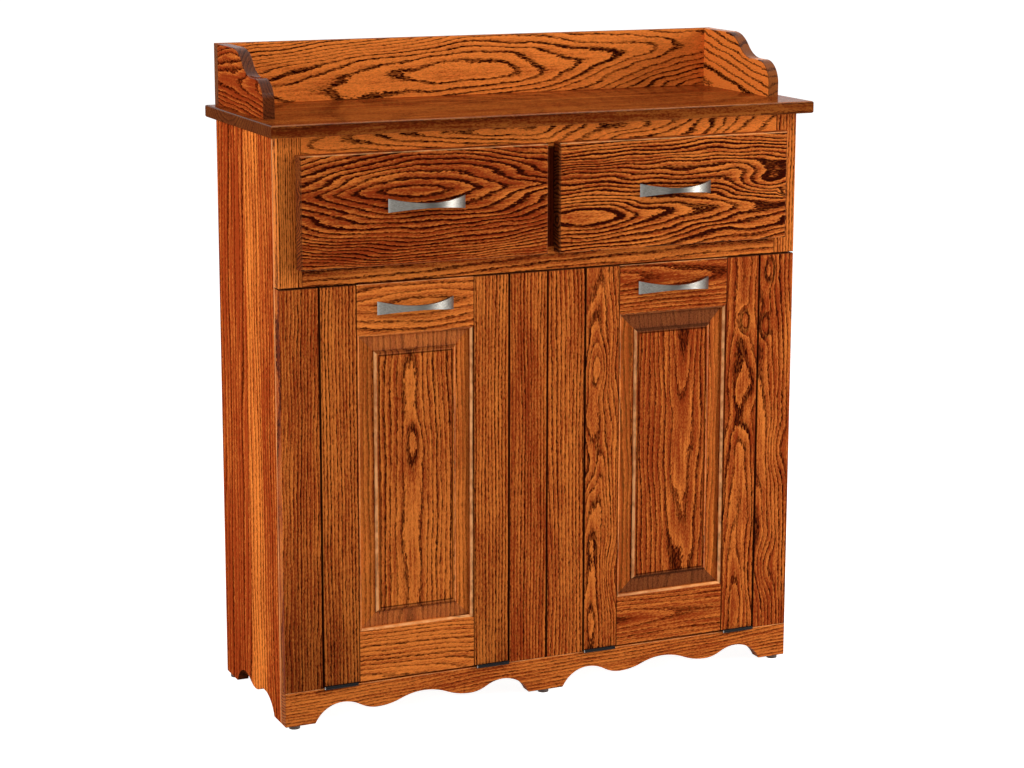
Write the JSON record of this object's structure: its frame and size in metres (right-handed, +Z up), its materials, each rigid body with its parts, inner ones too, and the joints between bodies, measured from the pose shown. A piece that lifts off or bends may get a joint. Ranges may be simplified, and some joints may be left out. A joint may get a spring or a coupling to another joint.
{
  "type": "double tilt-out trash cabinet",
  "caption": "Oak cabinet with paired tilt-out doors that carry waste bins, paired drawers above, a galleried top and a scalloped base.",
  "frame": {"origin": "on the floor under the middle of the cabinet's outer box", "axes": "+X to the right as seen from the front, +Y towards the back, +Z up"},
  "size_m": [0.948, 0.3585, 1.074],
  "materials": {
    "stained_oak": "stained, satin lacquer",
    "oak_top": "stained, semi-gloss lacquer",
    "plain_inner_wood": "clear sealed",
    "drawer_box_wood": "clear sealed",
    "nickel_pull": "satin nickel",
    "black_hinge": "black, satin",
    "steel_pin": "bright",
    "zinc_slide": "zinc plated",
    "bin_plastic": "fine grain",
    "glide_plastic": "smooth"
  },
  "bodies": {
    "cabinet": {"back_panel": "plain_inner_wood", "base_rail": "stained_oak", "center_partition": "plain_inner_wood", "drawer_deck": "plain_inner_wood", "fixed_strip_inner_left": "stained_oak", "fixed_strip_inner_right": "stained_oak", "fixed_strip_outer_left": "stained_oak", "fixed_strip_outer_right": "stained_oak", "floor_panel": "plain_inner_wood", "frame_bottom_rail": "stained_oak", "frame_mullion": "stained_oak", "frame_stile_left": "stained_oak", "frame_stile_right": "stained_oak", "frame_top_rail": "stained_oak", "gallery_back": "stained_oak", "gallery_end_left": "stained_oak", "gallery_end_right": "stained_oak", "glides": "glide_plastic", "hinge_base_leaves": "black_hinge", "hinge_pins": "steel_pin", "inner_cleats": "plain_inner_wood", "side_panel_left": "stained_oak", "side_panel_right": "stained_oak", "slide_rails": "zinc_slide", "top_board": "oak_top"},
    "left_drawer": {"drawer_left_bottom": "drawer_box_wood", "drawer_left_ends": "drawer_box_wood", "drawer_left_front": "stained_oak", "drawer_left_pull": "nickel_pull", "drawer_left_runners": "zinc_slide", "drawer_left_sides": "drawer_box_wood"},
    "right_drawer": {"drawer_right_bottom": "drawer_box_wood", "drawer_right_ends": "drawer_box_wood", "drawer_right_front": "stained_oak", "drawer_right_pull": "nickel_pull", "drawer_right_runners": "zinc_slide", "drawer_right_sides": "drawer_box_wood"},
    "left_door": {"cradle_left_back_slats": "plain_inner_wood", "cradle_left_bottom": "plain_inner_wood", "cradle_left_sides": "plain_inner_wood", "door_left_bottom_rail": "stained_oak", "door_left_hinge_leaves": "black_hinge", "door_left_inner_stile": "stained_oak", "door_left_outer_stile": "stained_oak", "door_left_panel": "stained_oak", "door_left_pull": "nickel_pull", "door_left_top_rail": "stained_oak", "waste_bin_left": "bin_plastic"},
    "right_door": {"cradle_right_back_slats": "plain_inner_wood", "cradle_right_bottom": "plain_inner_wood", "cradle_right_sides": "plain_inner_wood", "door_right_bottom_rail": "stained_oak", "door_right_hinge_leaves": "black_hinge", "door_right_inner_stile": "stained_oak", "door_right_outer_stile": "stained_oak", "door_right_panel": "stained_oak", "door_right_pull": "nickel_pull", "door_right_top_rail": "stained_oak", "waste_bin_right": "bin_plastic"}
  },
  "joints": [
    {"name": "left_drawer_slide", "type": "slide", "parent": "cabinet", "child": "left_drawer", "axis": [0, -1, 0], "range_m": [0, 0.2]},
    {"name": "right_drawer_slide", "type": "slide", "parent": "cabinet", "child": "right_drawer", "axis": [0, -1, 0], "range_m": [0, 0.2]},
    {"name": "left_door_tilt", "type": "hinge", "parent": "cabinet", "child": "left_door", "pos_m": [-0.23012, -0.13595, 0.064], "axis": [1, 0, 0], "range_deg": [0, 32]},
    {"name": "right_door_tilt", "type": "hinge", "parent": "cabinet", "child": "right_door", "pos_m": [0.23012, -0.13595, 0.064], "axis": [1, 0, 0], "range_deg": [0, 32]}
  ]
}
